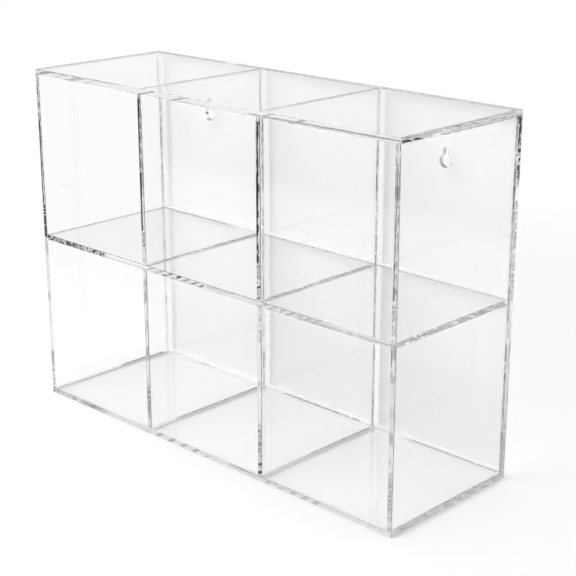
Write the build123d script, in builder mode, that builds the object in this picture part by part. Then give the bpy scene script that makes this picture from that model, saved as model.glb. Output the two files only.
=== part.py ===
"""Open-front cabinet of clear cast acrylic sheet, three columns by two rows.

The origin is the middle of the footprint, on the surface that the cabinet stands on. +X is
the viewer's right, +Z is up, and the open front faces -Y, so a wall behind it is on +Y.
Every piece is one flat sheet. The sheets meet in plain butt joints, solvent-cemented, and
only the edges that stay free carry a small polished bevel, the arris.
"""
import os

from build123d import *

os.makedirs("parts", exist_ok=True)

# ---- Driving dimensions, in millimetres
WIDTH = 406.0          # outside, across the front
DEPTH = 140.0          # outside, front edge to wall face
HEIGHT = 298.0         # outside, floor to top
SHEET = 4.8            # thickness of the sheet that all panels are cut from
ARRIS = 0.4            # bevel along a free edge

SHELF_RISE = 151.4     # top of the shelf above the floor
SCREW_HEAD_D = 9.6     # head of the wall screw
SCREW_SHANK_D = 4.8    # shank of the wall screw
HEAD_CLEARANCE = 0.8   # gap all round the head in the entry hole
SHANK_CLEARANCE = 0.4  # gap on each side of the shank in the slot
KEYHOLE_DROP = 49.0    # top of the cabinet down to the middle of the entry hole
SLOT_TRAVEL = 8.2      # entry hole's middle up to the seat of the shank
SHOULDER_RADIUS = 1.0  # rounding where the slot leaves the entry hole

DIVIDERS = ("left", "right")

# ---- Sizes that follow
half_width = WIDTH / 2
half_depth = DEPTH / 2
inner_depth = DEPTH - SHEET
inner_middle_y = -SHEET / 2
inner_width = WIDTH - 2 * SHEET
bay_width = (inner_width - len(DIVIDERS) * SHEET) / (len(DIVIDERS) + 1)
bay_pitch = bay_width + SHEET
wall_height = HEIGHT - 2 * SHEET

ROWS = {
    "lower": (SHEET, SHELF_RISE - SHEET),
    "upper": (SHELF_RISE, HEIGHT - SHEET),
}
divider_x = {
    "left": -bay_pitch / 2,
    "right": bay_pitch / 2,
}
keyhole_x = bay_pitch
keyhole_z = HEIGHT - KEYHOLE_DROP
entry_radius = SCREW_HEAD_D / 2 + HEAD_CLEARANCE
slot_radius = SCREW_SHANK_D / 2 + SHANK_CLEARANCE


def free_front_edges(piece: BuildPart, along: Axis) -> ShapeList:
    """Pick the two long edges of a sheet that run along an axis at the open front."""
    return piece.edges().filter_by(along).group_by(Axis.Y)[0]


def finish(piece: BuildPart, label: str) -> None:
    """Name a finished piece and write it to its own file."""
    piece.part.label = label
    export_step(piece.part, f"parts/{label}.step")
    print(f"{label:22s} {piece.part.volume / 1000:8.1f} cm3")


# ---- Bottom panel: full width and depth, all its outer edges free except the cemented top
with BuildPart() as bottom_panel:
    with BuildSketch(Plane.XY):
        Rectangle(WIDTH, DEPTH)
    extrude(amount=SHEET)
    underside = bottom_panel.faces().sort_by(Axis.Z)[0]
    chamfer(underside.edges() + bottom_panel.edges().filter_by(Axis.Z), length=ARRIS)
finish(bottom_panel, "bottom_panel")

# ---- Top panel: the same outline, lying on the uprights
with BuildPart() as top_panel:
    with BuildSketch(Plane.XY.offset(HEIGHT - SHEET)):
        Rectangle(WIDTH, DEPTH)
    extrude(amount=SHEET)
    upper_face = top_panel.faces().sort_by(Axis.Z)[-1]
    chamfer(upper_face.edges() + top_panel.edges().filter_by(Axis.Z), length=ARRIS)
finish(top_panel, "top_panel")

# ---- Keyhole outline: a round entry hole, and a slot above it that ends in a round seat
with BuildSketch() as keyhole:
    Circle(entry_radius)
    with Locations((0, SLOT_TRAVEL / 2)):
        Rectangle(2 * slot_radius, SLOT_TRAVEL)
    corners = keyhole.vertices().filter_by(lambda corner: corner.Y > 0)
    shoulders = corners.sort_by_distance((0, 0))[:2]
    fillet(shoulders, radius=SHOULDER_RADIUS)
    with Locations((0, SLOT_TRAVEL)):
        Circle(slot_radius)

# ---- Back panel: full width behind the sides, between the top and bottom panels
with BuildPart() as back_panel:
    with BuildSketch(Plane.XZ.offset(-half_depth)):
        with Locations((0, HEIGHT / 2)):
            Rectangle(WIDTH, wall_height)
        with Locations((-keyhole_x, keyhole_z), (keyhole_x, keyhole_z)):
            add(keyhole.sketch, mode=Mode.SUBTRACT)
    extrude(amount=SHEET)
    wall_face = back_panel.faces().sort_by(Axis.Y)[-1]
    corner_edges = wall_face.edges().filter_by(Axis.Z).sort_by(Axis.X)
    chamfer([corner_edges[0], corner_edges[-1]], length=ARRIS)
finish(back_panel, "back_panel")

# ---- Sides: in front of the back panel, between the top and bottom panels
with BuildPart() as right_side:
    with BuildSketch(Plane.YZ.offset(half_width - SHEET)):
        with Locations((inner_middle_y, HEIGHT / 2)):
            Rectangle(inner_depth, wall_height)
    extrude(amount=SHEET)
    chamfer(free_front_edges(right_side, Axis.Z), length=ARRIS)
finish(right_side, "right_side")

with BuildPart() as left_side:
    mirror(right_side.part, about=Plane.YZ)
finish(left_side, "left_side")

# ---- Shelf: one sheet between the sides, flush with the front
with BuildPart() as shelf:
    with BuildSketch(Plane.XY.offset(SHELF_RISE - SHEET)):
        with Locations((0, inner_middle_y)):
            Rectangle(inner_width, inner_depth)
    extrude(amount=SHEET)
    chamfer(free_front_edges(shelf, Axis.X), length=ARRIS)
finish(shelf, "shelf")

# ---- Dividers: short uprights that fill each row's height, on the bay lines
for row, (row_floor, row_ceiling) in ROWS.items():
    for side in DIVIDERS:
        with BuildPart() as divider:
            with BuildSketch(Plane.YZ.offset(divider_x[side] - SHEET / 2)):
                with Locations((inner_middle_y, (row_floor + row_ceiling) / 2)):
                    Rectangle(inner_depth, row_ceiling - row_floor)
            extrude(amount=SHEET)
            chamfer(free_front_edges(divider, Axis.Z), length=ARRIS)
        finish(divider, f"{row}_{side}_divider")

print(f"bay {bay_width:.2f} wide, {inner_depth:.2f} deep; keyholes at x = +-{keyhole_x:.2f}, z = {keyhole_z:.2f}")
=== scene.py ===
"""Looks of an open-front cabinet glued up from clear cast acrylic sheet.

Ten flat sheets make the cabinet: top, bottom, two sides, back, one shelf and four short
dividers. Each visible sheet is dressed from its solid: its polished faces, its machined
edges and the areas that are cemented to a neighbour each get their own finish. Solvent
cement, drawn into the joints, leaves small flat voids along them.

All lengths are metres, in the frame of the solids: +X right, -Y front, +Z up.
"""
import logging
import math
from dataclasses import dataclass, field
from enum import Enum

import bmesh
import bpy
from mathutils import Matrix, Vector

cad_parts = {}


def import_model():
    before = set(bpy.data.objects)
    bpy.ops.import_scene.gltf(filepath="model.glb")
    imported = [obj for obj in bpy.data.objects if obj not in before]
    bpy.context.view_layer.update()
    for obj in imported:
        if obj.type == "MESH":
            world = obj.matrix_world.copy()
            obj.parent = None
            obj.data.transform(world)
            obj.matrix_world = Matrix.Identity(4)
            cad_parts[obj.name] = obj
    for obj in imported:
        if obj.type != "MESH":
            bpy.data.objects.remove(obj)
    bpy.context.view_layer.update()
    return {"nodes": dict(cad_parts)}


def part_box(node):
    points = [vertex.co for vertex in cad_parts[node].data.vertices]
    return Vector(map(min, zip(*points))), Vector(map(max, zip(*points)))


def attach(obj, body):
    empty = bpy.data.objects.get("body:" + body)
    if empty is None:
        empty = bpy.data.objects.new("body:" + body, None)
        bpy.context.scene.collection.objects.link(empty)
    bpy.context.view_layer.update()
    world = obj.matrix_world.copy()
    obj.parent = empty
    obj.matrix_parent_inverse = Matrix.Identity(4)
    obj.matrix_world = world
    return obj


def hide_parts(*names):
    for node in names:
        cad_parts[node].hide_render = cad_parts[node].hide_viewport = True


LOG = logging.getLogger("acrylic_cabinet")
MM = 0.001
TOUCH = 0.01 * MM  # closer than this, two sheets count as cemented together
FLAT = math.radians(0.2)  # faces that turn less than this are one flat patch
SQUARE_ON = 0.99  # a normal's share along an axis, from which it counts as along it
FACING_FRONT = -0.5  # a normal's Y, below which it belongs to a front edge and its arris
LIGHT_BOUNCES = 160  # an edge view looks along a sheet's whole length, by total reflection
CLEAR_LAYERS = 96  # cemented areas that one ray may pass
ONE_MIRRORING = 0.5  # more reflections than this: seen in a mirroring surface
RAN_ALONG_INSIDE = 2.5  # more reflections than this: light that ran along inside a sheet
BODY = "root"
BACK = "back_panel"
SIDES = ("left_side", "right_side")
UPPER_DIVIDERS = ("upper_left_divider", "upper_right_divider")
LEVELS = ("bottom_panel", "shelf", "top_panel")

Colour = tuple[float, float, float, float]
Box = tuple[Vector, Vector]  # lowest and highest corner
Span = tuple[float, float]


class Zone(Enum):
    """What a patch of a sheet's surface is, in the order of its material slots."""

    FACE = 0
    FRONT_EDGE = 1
    EDGE = 2
    JOINT = 3
    UPRIGHT_BACK_JOINT = 4
    LEVEL_BACK_JOINT = 5


# ---------------------------------------------------------------- small helpers


def linear(hex_colour: str) -> Colour:
    """Turn an sRGB hex colour into the linear RGBA that the shaders take.

    Args:
        hex_colour: six hex digits, such as "f4f6f6".

    Returns:
        Linear red, green, blue and an alpha of 1.
    """
    channels = [int(hex_colour[i:i + 2], 16) / 255 for i in (0, 2, 4)]
    decoded = [c / 12.92 if c <= 0.04045 else ((c + 0.055) / 1.055) ** 2.4 for c in channels]
    return (*decoded, 1.0)


def add_node(
    tree: bpy.types.NodeTree,
    kind: str,
    inputs: dict | None = None,
    **settings: str | float | bool,
) -> bpy.types.Node:
    """Add a node to a tree, with its settings and its inputs.

    Args:
        tree: the node tree that takes the node.
        kind: the node's type, such as "ShaderNodeBsdfPrincipled".
        inputs: input name or index to a value, or to an output socket to link from.
        settings: properties of the node itself.

    Returns:
        The new node.
    """
    node = tree.nodes.new(kind)
    for name, value in settings.items():
        setattr(node, name, value)
    for name, value in (inputs or {}).items():
        socket = node.inputs[name]
        if isinstance(value, bpy.types.NodeSocket):
            tree.links.new(value, socket)
        else:
            socket.default_value = value
    return node


def new_material(name: str) -> tuple[bpy.types.Material, bpy.types.NodeTree]:
    """Make an empty node material.

    Args:
        name: the material's name.

    Returns:
        The material and its node tree.
    """
    material = bpy.data.materials.new(name)
    material.use_nodes = True
    material.node_tree.nodes.clear()
    return material, material.node_tree


def mix_colours(
    tree: bpy.types.NodeTree,
    factor: bpy.types.NodeSocket,
    first: Colour | bpy.types.NodeSocket,
    second: Colour | bpy.types.NodeSocket,
) -> bpy.types.NodeSocket:
    """Mix two colours.

    Args:
        tree: the node tree that takes the node.
        factor: the output socket that gives the share of the second colour.
        first: a linear colour or an output socket.
        second: a linear colour or an output socket.

    Returns:
        The mixed colour's output socket.
    """
    node = add_node(tree, "ShaderNodeMix", {0: factor, 6: first, 7: second}, data_type="RGBA")
    return node.outputs[2]


def reflected_more_than(tree: bpy.types.NodeTree, times: float) -> bpy.types.NodeSocket:
    """Tell light that was reflected more often than a number of times.

    Args:
        tree: the node tree that takes the nodes.
        times: ONE_MIRRORING or RAN_ALONG_INSIDE.

    Returns:
        An output socket: 1 for such light, 0 for all other.
    """
    path = add_node(tree, "ShaderNodeLightPath")
    compared = add_node(
        tree,
        "ShaderNodeMath",
        {0: path.outputs["Glossy Depth"], 1: times},
        operation="GREATER_THAN",
    )
    return compared.outputs[0]


# ---------------------------------------------------------------- finishes


@dataclass(frozen=True)
class PolishedCastAcrylic:
    """Cast acrylic (PMMA) as it comes off the casting glass: clear, flat and glossy.

    The eye gets little of it but mirror reflections at a slant and a slight greying of
    what is behind, with a very gentle waviness in the reflections.
    """

    name: str = "cast_acrylic_polished_face"
    tint: str = "fdfdfd"
    lamp_tint: str = "fafafa"
    ior: float = 1.49
    roughness: float = 0.0
    wave_pitch: float = 45 * MM
    wave_height: float = 0.02 * MM

    def build(self) -> bpy.types.Material:
        """Build the finish.

        Returns:
            The finished material.
        """
        material, tree = new_material(self.name)
        place = add_node(tree, "ShaderNodeTexCoord")
        waves = add_node(
            tree,
            "ShaderNodeTexNoise",
            {"Vector": place.outputs["Object"], "Scale": 1 / self.wave_pitch, "Detail": 1.0},
        )
        bump = add_node(
            tree,
            "ShaderNodeBump",
            {"Height": waves.outputs["Fac"], "Distance": self.wave_height, "Strength": 1.0},
        )
        sheet = add_node(
            tree,
            "ShaderNodeBsdfPrincipled",
            {
                "Base Color": linear(self.tint),
                "Roughness": self.roughness,
                "IOR": self.ior,
                "Transmission Weight": 1.0,
                "Normal": bump.outputs["Normal"],
            },
        )
        let_lamps_through(tree, sheet.outputs["BSDF"], self.lamp_tint)
        return material


@dataclass(frozen=True)
class MachinedAcrylicEdge:
    """A sawn and then flame-polished acrylic edge: glossy, but rippled across by the cutter.

    Each ripple tips the surface a little, so the edge breaks up into short black and
    white dashes where it throws total reflections from dark and bright surroundings.
    """

    name: str = "cast_acrylic_machined_edge"
    tint: str = "f8f8f8"
    lamp_tint: str = "b8b8b8"
    ior: float = 1.49
    roughness: float = 0.02
    ripple_pitch: float = 9.0 * MM
    ripple_height: float = 0.06 * MM
    chatter_pitch: float = 2.6 * MM
    chatter_height: float = 0.02 * MM

    def build(self) -> bpy.types.Material:
        """Build the finish.

        Returns:
            The finished material.
        """
        material, tree = new_material(self.name)
        place = add_node(tree, "ShaderNodeTexCoord")
        ripples = add_node(
            tree,
            "ShaderNodeTexNoise",
            {"Vector": place.outputs["Object"], "Scale": 1 / self.ripple_pitch, "Detail": 1.5},
        )
        chatter = add_node(
            tree,
            "ShaderNodeTexNoise",
            {"Vector": place.outputs["Object"], "Scale": 1 / self.chatter_pitch, "Detail": 0.0},
        )
        broad = add_node(
            tree,
            "ShaderNodeBump",
            {"Height": ripples.outputs["Fac"], "Distance": self.ripple_height, "Strength": 1.0},
        )
        fine = add_node(
            tree,
            "ShaderNodeBump",
            {
                "Height": chatter.outputs["Fac"],
                "Distance": self.chatter_height,
                "Strength": 1.0,
                "Normal": broad.outputs["Normal"],
            },
        )
        edge = add_node(
            tree,
            "ShaderNodeBsdfPrincipled",
            {
                "Base Color": linear(self.tint),
                "Roughness": self.roughness,
                "IOR": self.ior,
                "Transmission Weight": 1.0,
                "Normal": fine.outputs["Normal"],
            },
        )
        let_lamps_through(tree, edge.outputs["BSDF"], self.lamp_tint)
        return material


@dataclass(frozen=True)
class CementedAcrylicJoint:
    """Two acrylic surfaces welded by solvent cement, clear in places and dull in others.

    Where the weld is good, light goes straight on as if there were no joint. Where the
    cement ran thin it greys what is seen through it, which gives the edges their tones.
    """

    name: str = "cast_acrylic_cemented_joint"
    clear: str = "fefefe"
    dull: str = "ececec"
    lamp_tint: str = "b0b0b0"
    patch: float = 2.6 * MM
    dull_below: float = 0.40
    clear_above: float = 0.50

    def build(self) -> bpy.types.Material:
        """Build the finish.

        Returns:
            The finished material.
        """
        material, tree = new_material(self.name)
        place = add_node(tree, "ShaderNodeTexCoord")
        patches = add_node(
            tree,
            "ShaderNodeTexNoise",
            {"Vector": place.outputs["Object"], "Scale": 1 / self.patch, "Detail": 1.0},
        )
        ran_thin = add_node(
            tree,
            "ShaderNodeMapRange",
            {
                "Value": patches.outputs["Fac"],
                "From Min": self.dull_below,
                "From Max": self.clear_above,
            },
            interpolation_type="SMOOTHSTEP",
        )
        tone = mix_colours(
            tree, ran_thin.outputs["Result"], linear(self.dull), linear(self.clear)
        )
        weld = add_node(tree, "ShaderNodeBsdfTransparent", {"Color": tone})
        let_lamps_through(tree, weld.outputs["BSDF"], self.lamp_tint)
        return material


def let_lamps_through(
    tree: bpy.types.NodeTree, surface: bpy.types.NodeSocket, lamp_tint: str
) -> None:
    """Let lamp light pass a clear surface, so that its shadow is as pale as a real one's.

    Args:
        tree: the material's node tree.
        surface: the shader that everything but a lamp's shadow ray sees.
        lamp_tint: the share of lamp light that passes, as a colour.
    """
    path = add_node(tree, "ShaderNodeLightPath")
    passing = add_node(tree, "ShaderNodeBsdfTransparent", {"Color": linear(lamp_tint)})
    mixed = add_node(
        tree,
        "ShaderNodeMixShader",
        {0: path.outputs["Is Shadow Ray"], 1: surface, 2: passing.outputs["BSDF"]},
    )
    add_node(tree, "ShaderNodeOutputMaterial", {"Surface": mixed.outputs["Shader"]})


# ---------------------------------------------------------------- sheets


@dataclass
class AcrylicSheet:
    """One flat sheet of the cabinet, dressed from its solid.

    The sheet keeps its solid's shape. Its surface is cut along the outlines of the
    sheets that are cemented to it, so that each patch can have its own finish.
    """

    node: str
    solid: bpy.types.Object
    boxes: dict[str, Box]
    finishes: list[bpy.types.Material]
    neighbours: list[str] = field(default_factory=list)

    def __post_init__(self) -> None:
        """Find the sheets that touch this one."""
        low, high = self.boxes[self.node]
        for name, (other_low, other_high) in self.boxes.items():
            apart = any(
                other_low[i] > high[i] + TOUCH or other_high[i] < low[i] - TOUCH
                for i in range(3)
            )
            if name != self.node and not apart:
                self.neighbours.append(name)

    @property
    def thickness_axis(self) -> int:
        """Find the axis that runs through the sheet's thickness.

        Returns:
            0, 1 or 2 for X, Y or Z.
        """
        low, high = self.boxes[self.node]
        size = high - low
        return min(range(3), key=lambda i: size[i])

    def build(self) -> bpy.types.Object:
        """Make the dressed sheet.

        Returns:
            The new mesh object, at the origin, with its place in its mesh.
        """
        shape = bmesh.new()
        shape.from_mesh(self.solid.data)
        bmesh.ops.remove_doubles(shape, verts=shape.verts, dist=TOUCH)
        self._cut_along_joints(shape)
        self._sort_into_zones(shape)
        bmesh.ops.dissolve_limit(
            shape,
            angle_limit=FLAT,
            verts=shape.verts,
            edges=shape.edges,
            delimit={"MATERIAL"},
        )
        mesh = bpy.data.meshes.new(self.node + "_sheet")
        shape.to_mesh(mesh)
        shape.free()
        for finish in self.finishes:
            mesh.materials.append(finish)
        piece = bpy.data.objects.new(self.node + "_sheet", mesh)
        bpy.context.scene.collection.objects.link(piece)
        return piece

    def _cut_along_joints(self, shape: bmesh.types.BMesh) -> None:
        """Cut the surface where a neighbour's outline crosses it.

        Args:
            shape: the sheet's surface, changed in place.
        """
        low, high = self.boxes[self.node]
        for axis in range(3):
            if axis == self.thickness_axis:
                continue
            places = {
                round(corner[axis], 7)
                for name in self.neighbours
                for corner in self.boxes[name]
                if low[axis] + TOUCH < corner[axis] < high[axis] - TOUCH
            }
            for place in sorted(places):
                point, normal = Vector((0, 0, 0)), Vector((0, 0, 0))
                point[axis], normal[axis] = place, 1.0
                everything = [*shape.verts, *shape.edges, *shape.faces]
                bmesh.ops.bisect_plane(
                    shape, geom=everything, dist=TOUCH / 10, plane_co=point, plane_no=normal
                )

    def _sort_into_zones(self, shape: bmesh.types.BMesh) -> None:
        """Give each patch the material slot of its zone.

        Args:
            shape: the sheet's surface, changed in place.
        """
        axis = self.thickness_axis
        for patch in shape.faces:
            centre = patch.calc_center_median()
            touching = [name for name in self.neighbours if self._holds(name, centre)]
            joined = {*touching, self.node}
            if touching and BACK in joined:
                level = joined.intersection(LEVELS)
                zone = Zone.LEVEL_BACK_JOINT if level else Zone.UPRIGHT_BACK_JOINT
            elif touching:
                zone = Zone.JOINT
            elif abs(patch.normal[axis]) > SQUARE_ON:
                zone = Zone.FACE
            elif patch.normal.y < FACING_FRONT:
                zone = Zone.FRONT_EDGE
            else:
                zone = Zone.EDGE
            patch.material_index = zone.value
            patch.smooth = False

    def _holds(self, name: str, point: Vector) -> bool:
        """Test whether a point lies on or in another sheet's box.

        Args:
            name: the other sheet.
            point: the point to test.

        Returns:
            True if it does.
        """
        low, high = self.boxes[name]
        return all(low[i] - TOUCH < point[i] < high[i] + TOUCH for i in range(3))


# ---------------------------------------------------------------- cement


@dataclass(frozen=True)
class AirTrappedInCement:
    """Air caught in a solvent-cemented seam, shut in by acrylic on all sides.

    Light inside the acrylic is thrown back at it, so it reads as a small bright or black
    mirror, and the seam it lies in as a dashed line.
    """

    name: str = "air_trapped_in_solvent_cement"
    tint: str = "f2f4f4"
    lamp_tint: str = "c0c0c0"
    roughness: float = 0.05

    def build(self) -> bpy.types.Material:
        """Build the finish.

        Returns:
            The finished material.
        """
        material, tree = new_material(self.name)
        skin = add_node(
            tree,
            "ShaderNodeBsdfPrincipled",
            {"Base Color": linear(self.tint), "Metallic": 1.0, "Roughness": self.roughness},
        )
        let_lamps_through(tree, skin.outputs["BSDF"], self.lamp_tint)
        return material


@dataclass(frozen=True)
class CementVoids:
    """Slim pockets of air strung along the cemented seams, made with Geometry Nodes."""

    name: str
    pitch: float
    length: float
    thickness: float
    share_at_start: float
    share_at_end: float
    cluster: float
    seed: int
    inset: float = 0.7 * MM
    end_gap: float = 3.0 * MM
    stretch: Span = (0.5, 1.5)

    def build(
        self, boxes: dict[str, Box], finish: bpy.types.Material
    ) -> bpy.types.Object:
        """Make the pockets.

        Args:
            boxes: each sheet's lowest and highest corners.
            finish: the material of the pockets.

        Returns:
            One mesh object, at the origin, that holds every pocket.
        """
        lines = self._seam_lines(boxes)
        mesh = bpy.data.meshes.new(self.name + "_seams")
        points = [end for line in lines for end in line]
        mesh.from_pydata(points, [(2 * i, 2 * i + 1) for i in range(len(lines))], [])
        carrier = bpy.data.objects.new(self.name + "_seams", mesh)
        bpy.context.scene.collection.objects.link(carrier)
        modifier = carrier.modifiers.new(self.name, "NODES")
        modifier.node_group = self._node_group()
        values = {
            "Pitch": self.pitch,
            "Length": self.length,
            "Thickness": self.thickness,
            "Share at Start": self.share_at_start,
            "Share at End": self.share_at_end,
            "Cluster Size": self.cluster,
            "Seed": self.seed,
            "Finish": finish,
        }
        for item in modifier.node_group.interface.items_tree:
            if item.name in values:
                modifier[item.identifier] = values[item.name]
        evaluated = carrier.evaluated_get(bpy.context.evaluated_depsgraph_get())
        made = bpy.data.meshes.new_from_object(evaluated)
        made.name = self.name
        bpy.data.objects.remove(carrier)
        piece = bpy.data.objects.new(self.name, made)
        bpy.context.scene.collection.objects.link(piece)
        return piece

    def _seam_lines(self, boxes: dict[str, Box]) -> list[Box]:
        """Find the two long margins of every strip where two sheets are cemented.

        Args:
            boxes: each sheet's lowest and highest corners.

        Returns:
            The lines, each as its two ends.
        """
        lines = []
        names = sorted(boxes)
        for i, first in enumerate(names):
            for second in names[i + 1:]:
                low = Vector(map(max, boxes[first][0], boxes[second][0]))
                high = Vector(map(min, boxes[first][1], boxes[second][1]))
                size = high - low
                if min(size) < -TOUCH:
                    continue
                through, across, along = sorted(range(3), key=lambda axis: size[axis])
                if size[across] < 4 * self.inset or size[through] > TOUCH:
                    continue
                for side in (low[across] + self.inset, high[across] - self.inset):
                    start, end = low.copy(), high.copy()
                    start[across] = end[across] = side
                    start[along] += self.end_gap
                    end[along] -= self.end_gap
                    lines.append((start, end))
        return lines

    def _node_group(self) -> bpy.types.NodeTree:
        """Build the node tree that strings the pockets along the seam lines.

        Returns:
            The tree, with the sizes, the seed and the finish as its named inputs.
        """
        tree = bpy.data.node_groups.new(self.name, "GeometryNodeTree")
        face = tree.interface
        face.new_socket("Geometry", in_out="INPUT", socket_type="NodeSocketGeometry")
        sizes = ("Pitch", "Length", "Thickness", "Share at Start", "Share at End", "Cluster Size")
        for label in sizes:
            face.new_socket(label, in_out="INPUT", socket_type="NodeSocketFloat")
        face.new_socket("Seed", in_out="INPUT", socket_type="NodeSocketInt")
        face.new_socket("Finish", in_out="INPUT", socket_type="NodeSocketMaterial")
        face.new_socket("Geometry", in_out="OUTPUT", socket_type="NodeSocketGeometry")
        given = add_node(tree, "NodeGroupInput").outputs
        seams = add_node(tree, "GeometryNodeMeshToCurve", {"Mesh": given["Geometry"]})
        places = add_node(
            tree,
            "GeometryNodeCurveToPoints",
            {"Curve": seams.outputs["Curve"], "Length": given["Pitch"]},
            mode="LENGTH",
        )
        # Pockets come in clusters: only where a coarse noise along the seams is high.
        where = add_node(tree, "GeometryNodeInputPosition")
        cluster_scale = add_node(
            tree, "ShaderNodeMath", {0: 1.0, 1: given["Cluster Size"]}, operation="DIVIDE"
        )
        patches = add_node(
            tree,
            "ShaderNodeTexNoise",
            {
                "Vector": where.outputs["Position"],
                "W": given["Seed"],
                "Scale": cluster_scale.outputs[0],
                "Detail": 1.0,
            },
            noise_dimensions="4D",
        )
        # The cement is drawn in from each seam's start, so its end stays the driest.
        drawn = add_node(tree, "GeometryNodeSplineParameter")
        travelled = add_node(
            tree,
            "GeometryNodeCaptureAttribute",
            {"Geometry": seams.outputs["Curve"]},
        )
        travelled.capture_items.new("FLOAT", "Factor")
        tree.links.new(drawn.outputs["Factor"], travelled.inputs[1])
        tree.links.new(travelled.outputs["Geometry"], places.inputs["Curve"])
        share = add_node(
            tree,
            "ShaderNodeMapRange",
            {
                "Value": travelled.outputs[1],
                "To Min": given["Share at Start"],
                "To Max": given["Share at End"],
            },
        )
        kept = add_node(
            tree,
            "FunctionNodeCompare",
            {0: patches.outputs[0], 1: share.outputs["Result"]},
            data_type="FLOAT",
            operation="LESS_THAN",
        )
        pocket = add_node(
            tree, "GeometryNodeMeshUVSphere", {"Segments": 8, "Rings": 5, "Radius": 0.5}
        )
        smooth = add_node(tree, "GeometryNodeSetShadeSmooth", {"Geometry": pocket.outputs["Mesh"]})
        along = add_node(
            tree, "FunctionNodeAlignRotationToVector", {"Vector": places.outputs["Tangent"]}
        )
        stretch = add_node(
            tree,
            "FunctionNodeRandomValue",
            {"Min": self.stretch[0], "Max": self.stretch[1], "Seed": given["Seed"]},
        )
        long = add_node(
            tree,
            "ShaderNodeMath",
            {0: stretch.outputs["Value"], 1: given["Length"]},
            operation="MULTIPLY",
        )
        size = add_node(
            tree,
            "ShaderNodeCombineXYZ",
            {"X": given["Thickness"], "Y": given["Thickness"], "Z": long.outputs[0]},
        )
        strung = add_node(
            tree,
            "GeometryNodeInstanceOnPoints",
            {
                "Points": places.outputs["Points"],
                "Selection": kept.outputs["Result"],
                "Instance": smooth.outputs["Geometry"],
                "Rotation": along.outputs["Rotation"],
                "Scale": size.outputs["Vector"],
            },
        )
        solid = add_node(
            tree, "GeometryNodeRealizeInstances", {"Geometry": strung.outputs["Instances"]}
        )
        finished = add_node(
            tree,
            "GeometryNodeSetMaterial",
            {"Geometry": solid.outputs["Geometry"], "Material": given["Finish"]},
        )
        add_node(tree, "NodeGroupOutput", {"Geometry": finished.outputs["Geometry"]})
        return tree


# ---------------------------------------------------------------- studio


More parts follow.
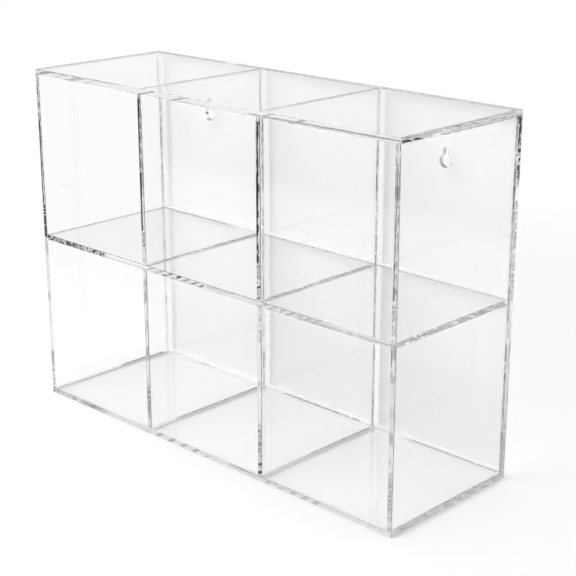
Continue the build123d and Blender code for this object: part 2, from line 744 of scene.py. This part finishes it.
@dataclass(frozen=True)
class Studio:
    """A white product studio: pale floor, white wall, one large soft light.

    Clear sheets are seen by what their edges mirror. So what only reflections see is dim
    in front, and a black flag stands behind, as is usual when acrylic is photographed.
    """

    white: str = "ffffff"
    fill_light: str = "e2e2e2"
    # The floor fades into the white background away from the cabinet. In front of the
    # cabinet it has a painted shade, dark like the unlit room there, which only reflections see.
    floor_colour: str = "fcfcfc"
    floor_size: float = 6.0
    floor_drop: float = 0.2 * MM
    fade: Span = (0.35, 0.9)
    front_floor_shade_starts: Span = (-0.42, -0.54)
    front_floor_shade: str = "767676"
    # The wall close behind the compartments, left out behind each sheet as a painted band of light.
    wall_colour: str = "fcfcfc"
    wall_gap: float = 4.0 * MM
    piped_light_rim: float = 4.0 * MM
    # The surroundings, each where a direction's Z, Y or X passes from one to another.
    back_of_room: str = "e6e6e6"
    back_rises: Span = (0.05, 0.35)
    ceiling: str = "a8a8a8"
    ceiling_starts: Span = (0.5, 0.8)
    mirrored_front: str = "b4b4b4"
    unlit_front: str = "0e0e0e"
    front_starts: Span = (-0.1, -0.4)
    below_lamp: Span = (0.6, 0.45)
    right_of_lamp: Span = (-0.6, -0.4)
    # The flag's panels, each as its span in X and its span in Z.
    flag_colour: str = "0c0c0c"
    flag_distance: float = 0.31
    flag_panels: tuple[tuple[Span, Span], ...] = (
        ((0.085, 0.27), (0.0, 0.15)),
        ((0.125, 0.142), (0.15, 0.20)),
        ((0.216, 0.27), (0.15, 0.20)),
        ((0.095, 0.216), (0.25, 0.29)),
        ((0.3102, 0.38), (0.0, 0.20)),
    )
    lamp_place: tuple[float, float, float] = (-0.45, -1.0, 1.15)
    lamp_aim: tuple[float, float, float] = (0.0, 0.0, 0.1)
    lamp_size: Span = (1.2, 0.9)
    lamp_watts: float = 13.0

    def build_floor(self) -> bpy.types.Object:
        """Make the floor, which fades into the white background away from the cabinet.

        Returns:
            The floor object.
        """
        bpy.ops.mesh.primitive_plane_add(size=self.floor_size)
        floor = bpy.context.object
        floor.name = "studio_floor"
        floor.location.z = -self.floor_drop
        material, tree = new_material("studio_paper")
        place = add_node(tree, "ShaderNodeTexCoord")
        distance = add_node(
            tree, "ShaderNodeVectorMath", {0: place.outputs["Object"]}, operation="LENGTH"
        )
        fade = add_node(
            tree,
            "ShaderNodeMapRange",
            {
                "Value": distance.outputs["Value"],
                "From Min": self.fade[0],
                "From Max": self.fade[1],
            },
            interpolation_type="SMOOTHSTEP",
        )
        paper = add_node(tree, "ShaderNodeBsdfDiffuse", {"Color": linear(self.floor_colour)})
        glow = add_node(tree, "ShaderNodeEmission", {"Color": linear(self.white), "Strength": 1.0})
        mixed = add_node(
            tree,
            "ShaderNodeMixShader",
            {0: fade.outputs["Result"], 1: paper.outputs["BSDF"], 2: glow.outputs["Emission"]},
        )
        # Painted shade on the floor in front of the cabinet, dark like the unlit room: only
        # reflections see it.
        parts = add_node(tree, "ShaderNodeSeparateXYZ", {"Vector": place.outputs["Object"]})
        in_front_shade = add_node(
            tree,
            "ShaderNodeMapRange",
            {
                "Value": parts.outputs["Y"],
                "From Min": self.front_floor_shade_starts[0],
                "From Max": self.front_floor_shade_starts[1],
            },
            interpolation_type="SMOOTHSTEP",
        )
        dark = add_node(
            tree,
            "ShaderNodeMath",
            {0: in_front_shade.outputs["Result"], 1: reflected_more_than(tree, ONE_MIRRORING)},
            operation="MULTIPLY",
        )
        guided = reflected_more_than(tree, RAN_ALONG_INSIDE)
        front_shade_colour = mix_colours(
            tree, guided, linear(self.front_floor_shade), linear(self.unlit_front)
        )
        shaded_front_floor = add_node(tree, "ShaderNodeBsdfDiffuse", {"Color": front_shade_colour})
        with_front_shade = add_node(
            tree,
            "ShaderNodeMixShader",
            {0: dark.outputs[0], 1: mixed.outputs["Shader"], 2: shaded_front_floor.outputs["BSDF"]},
        )
        add_node(tree, "ShaderNodeOutputMaterial", {"Surface": with_front_shade.outputs["Shader"]})
        floor.data.materials.append(material)
        return floor

    def build_wall(self, boxes: dict[str, Box]) -> bpy.types.Object:
        """Make the parts of the white wall that lie close behind the compartments.

        Only what comes through the acrylic sees them, with the soft shadows of the sheets
        on them. Right behind each sheet the wall is left out as a painted band of light, as white
        as the background, for the light that runs along in the sheet and falls on the wall there.

        Args:
            boxes: each sheet's lowest and highest corners.

        Returns:
            The wall object.
        """
        left_side, right_side = SIDES
        uprights = [boxes[name] for name in (left_side, *UPPER_DIVIDERS, right_side)]
        levels = [boxes[name] for name in LEVELS]
        place = max(high.y for _, high in boxes.values()) + self.wall_gap
        points, panes, strength = [], [], []
        for (_, left), (right, _) in zip(uprights, uprights[1:]):
            for (_, below), (above, _) in zip(levels, levels[1:]):
                first = len(points)
                # An outer outline without paint, an inner one with it, and the rim between. The
                # part without paint is the painted band of light behind the sheets.
                for inset, paint in ((-self.piped_light_rim / 2, 0.0), (self.piped_light_rim / 2, 1.0)):
                    x0, x1 = left.x + inset, right.x - inset
                    z0, z1 = below.z + inset, above.z - inset
                    points += [(x0, place, z0), (x1, place, z0), (x1, place, z1), (x0, place, z1)]
                    strength += [paint] * 4
                panes.append([first + i for i in (4, 5, 6, 7)])
                for i, j in ((0, 1), (1, 2), (2, 3), (3, 0)):
                    panes.append([first + i, first + j, first + 4 + j, first + 4 + i])
        mesh = bpy.data.meshes.new("studio_wall")
        mesh.from_pydata(points, [], panes)
        mesh.attributes.new("wall_share_outside_piped_light", "FLOAT", "POINT").data.foreach_set("value", strength)
        wall = bpy.data.objects.new("studio_wall", mesh)
        bpy.context.scene.collection.objects.link(wall)
        material, tree = new_material("studio_wall_paint")
        # Seen through the sheets and mirrored in them, but not by light that ran along inside.
        path = add_node(tree, "ShaderNodeLightPath")
        straight = add_node(
            tree,
            "ShaderNodeMath",
            {0: path.outputs["Glossy Depth"], 1: RAN_ALONG_INSIDE},
            operation="LESS_THAN",
        )
        seen = add_node(
            tree,
            "ShaderNodeMath",
            {0: path.outputs["Is Transmission Ray"], 1: straight.outputs[0]},
            operation="MULTIPLY",
        )
        # Painted band of light: 0 on the rims behind the sheets, where the wall is left out and the
        # white background shows.
        rim = add_node(tree, "ShaderNodeAttribute", attribute_name="wall_share_outside_piped_light")
        shown = add_node(
            tree,
            "ShaderNodeMath",
            {0: seen.outputs[0], 1: rim.outputs["Fac"]},
            operation="MULTIPLY",
        )
        paint = add_node(tree, "ShaderNodeBsdfDiffuse", {"Color": linear(self.wall_colour)})
        unseen = add_node(tree, "ShaderNodeBsdfTransparent")
        mixed = add_node(
            tree,
            "ShaderNodeMixShader",
            {0: shown.outputs[0], 1: unseen.outputs["BSDF"], 2: paint.outputs["BSDF"]},
        )
        add_node(tree, "ShaderNodeOutputMaterial", {"Surface": mixed.outputs["Shader"]})
        wall.data.materials.append(material)
        return wall

    def build_flag(self) -> bpy.types.Object:
        """Make the black flag that stands behind the cabinet.

        Only light that ran along inside the sheets sees it: it draws the black streaks in
        their edges. Its outline keeps clear of the light from the bottom and top panels'
        front edges, and its right panel covers a part of what the right divider sends.

        Returns:
            The flag object.
        """
        y = self.flag_distance
        points, panes = [], []
        for (x0, x1), (z0, z1) in self.flag_panels:
            panes.append([len(points) + i for i in range(4)])
            points += [(x0, y, z0), (x1, y, z0), (x1, y, z1), (x0, y, z1)]
        mesh = bpy.data.meshes.new("studio_flag")
        mesh.from_pydata(points, [], panes)
        flag = bpy.data.objects.new("studio_flag", mesh)
        bpy.context.scene.collection.objects.link(flag)
        flag.visible_camera = False
        flag.visible_diffuse = False
        flag.visible_shadow = False
        material, tree = new_material("studio_flag_cloth")
        guided = reflected_more_than(tree, RAN_ALONG_INSIDE)
        cloth = add_node(tree, "ShaderNodeBsdfDiffuse", {"Color": linear(self.flag_colour)})
        unseen = add_node(tree, "ShaderNodeBsdfTransparent")
        mixed = add_node(
            tree,
            "ShaderNodeMixShader",
            {0: guided, 1: unseen.outputs["BSDF"], 2: cloth.outputs["BSDF"]},
        )
        add_node(tree, "ShaderNodeOutputMaterial", {"Surface": mixed.outputs["Shader"]})
        flag.data.materials.append(material)
        return flag

    def build_world(self) -> None:
        """Make the surroundings: white to look at and through, with darker parts to reflect."""
        world = bpy.data.worlds.new("studio_surroundings")
        bpy.context.scene.world = world
        world.use_nodes = True
        tree = world.node_tree
        tree.nodes.clear()
        place = add_node(tree, "ShaderNodeTexCoord")
        parts = add_node(tree, "ShaderNodeSeparateXYZ", {"Vector": place.outputs["Generated"]})
        # Behind the cabinet: white at the horizon, light grey above, then the ceiling.
        low = add_node(
            tree,
            "ShaderNodeMapRange",
            {
                "Value": parts.outputs["Z"],
                "From Min": self.back_rises[0],
                "From Max": self.back_rises[1],
            },
            interpolation_type="SMOOTHSTEP",
        )
        high = add_node(
            tree,
            "ShaderNodeMapRange",
            {
                "Value": parts.outputs["Z"],
                "From Min": self.ceiling_starts[0],
                "From Max": self.ceiling_starts[1],
            },
            interpolation_type="SMOOTHSTEP",
        )
        sky = mix_colours(tree, low.outputs[0], linear(self.white), linear(self.back_of_room))
        sky = mix_colours(tree, high.outputs[0], sky, linear(self.ceiling))
        # In front of it: the unlit part of the room, below the lamp.
        ahead = add_node(
            tree,
            "ShaderNodeMapRange",
            {
                "Value": parts.outputs["Y"],
                "From Min": self.front_starts[0],
                "From Max": self.front_starts[1],
            },
            interpolation_type="SMOOTHSTEP",
        )
        below_lamp = add_node(
            tree,
            "ShaderNodeMapRange",
            {
                "Value": parts.outputs["Z"],
                "From Min": self.below_lamp[0],
                "From Max": self.below_lamp[1],
            },
            interpolation_type="SMOOTHSTEP",
        )
        # The lamp stands on the left, so the room is bright there.
        right_of_lamp = add_node(
            tree,
            "ShaderNodeMapRange",
            {
                "Value": parts.outputs["X"],
                "From Min": self.right_of_lamp[0],
                "From Max": self.right_of_lamp[1],
            },
            interpolation_type="SMOOTHSTEP",
        )
        beside_lamp = add_node(
            tree,
            "ShaderNodeMath",
            {0: below_lamp.outputs[0], 1: right_of_lamp.outputs[0]},
            operation="MULTIPLY",
        )
        unlit = add_node(
            tree,
            "ShaderNodeMath",
            {0: ahead.outputs[0], 1: beside_lamp.outputs[0]},
            operation="MULTIPLY",
        )
        guided = reflected_more_than(tree, RAN_ALONG_INSIDE)
        front = mix_colours(
            tree, guided, linear(self.mirrored_front), linear(self.unlit_front)
        )
        room = mix_colours(tree, unlit.outputs[0], sky, front)
        # Straight on, and through the sheets, everything around is white.
        reflected = reflected_more_than(tree, ONE_MIRRORING)
        looked_at = mix_colours(tree, reflected, linear(self.white), room)
        # What the surroundings give as light is the same from all around.
        path = add_node(tree, "ShaderNodeLightPath")
        lighting = add_node(
            tree,
            "ShaderNodeMath",
            {0: path.outputs["Diffuse Depth"], 1: 0.5},
            operation="GREATER_THAN",
        )
        final = mix_colours(tree, lighting.outputs[0], looked_at, linear(self.fill_light))
        back = add_node(tree, "ShaderNodeBackground", {"Color": final, "Strength": 1.0})
        add_node(tree, "ShaderNodeOutputWorld", {"Surface": back.outputs["Background"]})

    def build_lights(self) -> None:
        """Hang one large soft light on the upper left, in front of the cabinet."""
        data = bpy.data.lights.new("softbox", "AREA")
        data.shape = "RECTANGLE"
        data.size, data.size_y = self.lamp_size
        data.energy = self.lamp_watts
        lamp = bpy.data.objects.new("softbox", data)
        lamp.location = self.lamp_place
        # Its light passes the acrylic by let_lamps_through, and must not be counted twice.
        lamp.visible_transmission = False
        aim = Vector(self.lamp_aim) - lamp.location
        lamp.rotation_mode = "QUATERNION"
        lamp.rotation_quaternion = aim.to_track_quat("-Z", "Y")
        bpy.context.scene.collection.objects.link(lamp)


@dataclass(frozen=True)
class PhotoCamera:
    """The camera of the photograph, found from the cabinet's corners."""

    azimuth: float = 43.98
    elevation: float = 18.17
    distance: float = 1.168
    aim: tuple[float, float, float] = (0.0196, 0.0111, 0.1319)
    lens_mm: float = 88.15
    sensor_mm: float = 36.0
    reach: Span = (0.01, 50.0)

    def build(self) -> bpy.types.Object:
        """Place the camera and make it the scene's own.

        Returns:
            The camera object.
        """
        data = bpy.data.cameras.new("photo_camera")
        data.lens, data.sensor_width = self.lens_mm, self.sensor_mm
        data.clip_start, data.clip_end = self.reach
        camera = bpy.data.objects.new("photo_camera", data)
        turn, rise = math.radians(self.azimuth), math.radians(self.elevation)
        back = Vector(
            (math.sin(turn) * math.cos(rise), -math.cos(turn) * math.cos(rise), math.sin(rise))
        )
        camera.location = Vector(self.aim) + back * self.distance
        camera.rotation_mode = "QUATERNION"
        camera.rotation_quaternion = (-back).to_track_quat("-Z", "Y")
        bpy.context.scene.collection.objects.link(camera)
        bpy.context.scene.camera = camera
        return camera


# ---------------------------------------------------------------- cabinet


def main() -> None:
    """Load the solids, dress them, and set up the studio."""
    logging.basicConfig(level=logging.INFO, format="%(name)s: %(message)s")
    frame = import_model()
    boxes = {node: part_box(node) for node in frame["nodes"]}
    finishes = [
        PolishedCastAcrylic().build(),
        MachinedAcrylicEdge(
            name="cast_acrylic_polished_front_edge",
            ripple_height=0.04 * MM,
            chatter_height=0.006 * MM,
        ).build(),
        MachinedAcrylicEdge().build(),
        CementedAcrylicJoint().build(),
        CementedAcrylicJoint(
            name="cast_acrylic_upright_back_joint",
            clear="f2f2f2",
            dull="d0d0d0",
            lamp_tint="303030",
            patch=14 * MM,
        ).build(),
        CementedAcrylicJoint(
            name="cast_acrylic_level_back_joint",
            clear="fefefe",
            dull="f8f8f8",
            lamp_tint="a0a0a0",
            patch=14 * MM,
        ).build(),
    ]
    for node, solid in frame["nodes"].items():
        sheet = AcrylicSheet(node, solid, boxes, finishes)
        piece = sheet.build()
        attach(piece, BODY)
        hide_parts(node)
        LOG.info("%s: %d patches, cemented to %s", node, len(piece.data.polygons), sheet.neighbours)

    trapped_air = AirTrappedInCement().build()
    for voids in (
        CementVoids(
            "cement_void_rows",
            pitch=2.4 * MM,
            length=1.4 * MM,
            thickness=0.7 * MM,
            share_at_start=0.42,
            share_at_end=0.52,
            cluster=38 * MM,
            seed=3,
        ),
        CementVoids(
            "cement_void_slivers",
            pitch=11 * MM,
            length=15 * MM,
            thickness=1.2 * MM,
            share_at_start=0.30,
            share_at_end=0.80,
            cluster=60 * MM,
            seed=7,
            end_gap=13 * MM,
        ),
    ):
        piece = voids.build(boxes, trapped_air)
        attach(piece, BODY)
        LOG.info("%s: %d faces", piece.name, len(piece.data.polygons))

    studio = Studio()
    studio.build_floor()
    studio.build_wall(boxes)
    studio.build_flag()
    studio.build_world()
    studio.build_lights()
    PhotoCamera().build()
    scene = bpy.context.scene
    scene.view_settings.view_transform = "Standard"
    scene.cycles.max_bounces = LIGHT_BOUNCES
    scene.cycles.transmission_bounces = LIGHT_BOUNCES
    scene.cycles.glossy_bounces = LIGHT_BOUNCES
    scene.cycles.transparent_max_bounces = CLEAR_LAYERS
    scene.cycles.use_denoising = True


if __name__ == "__main__":
    main()
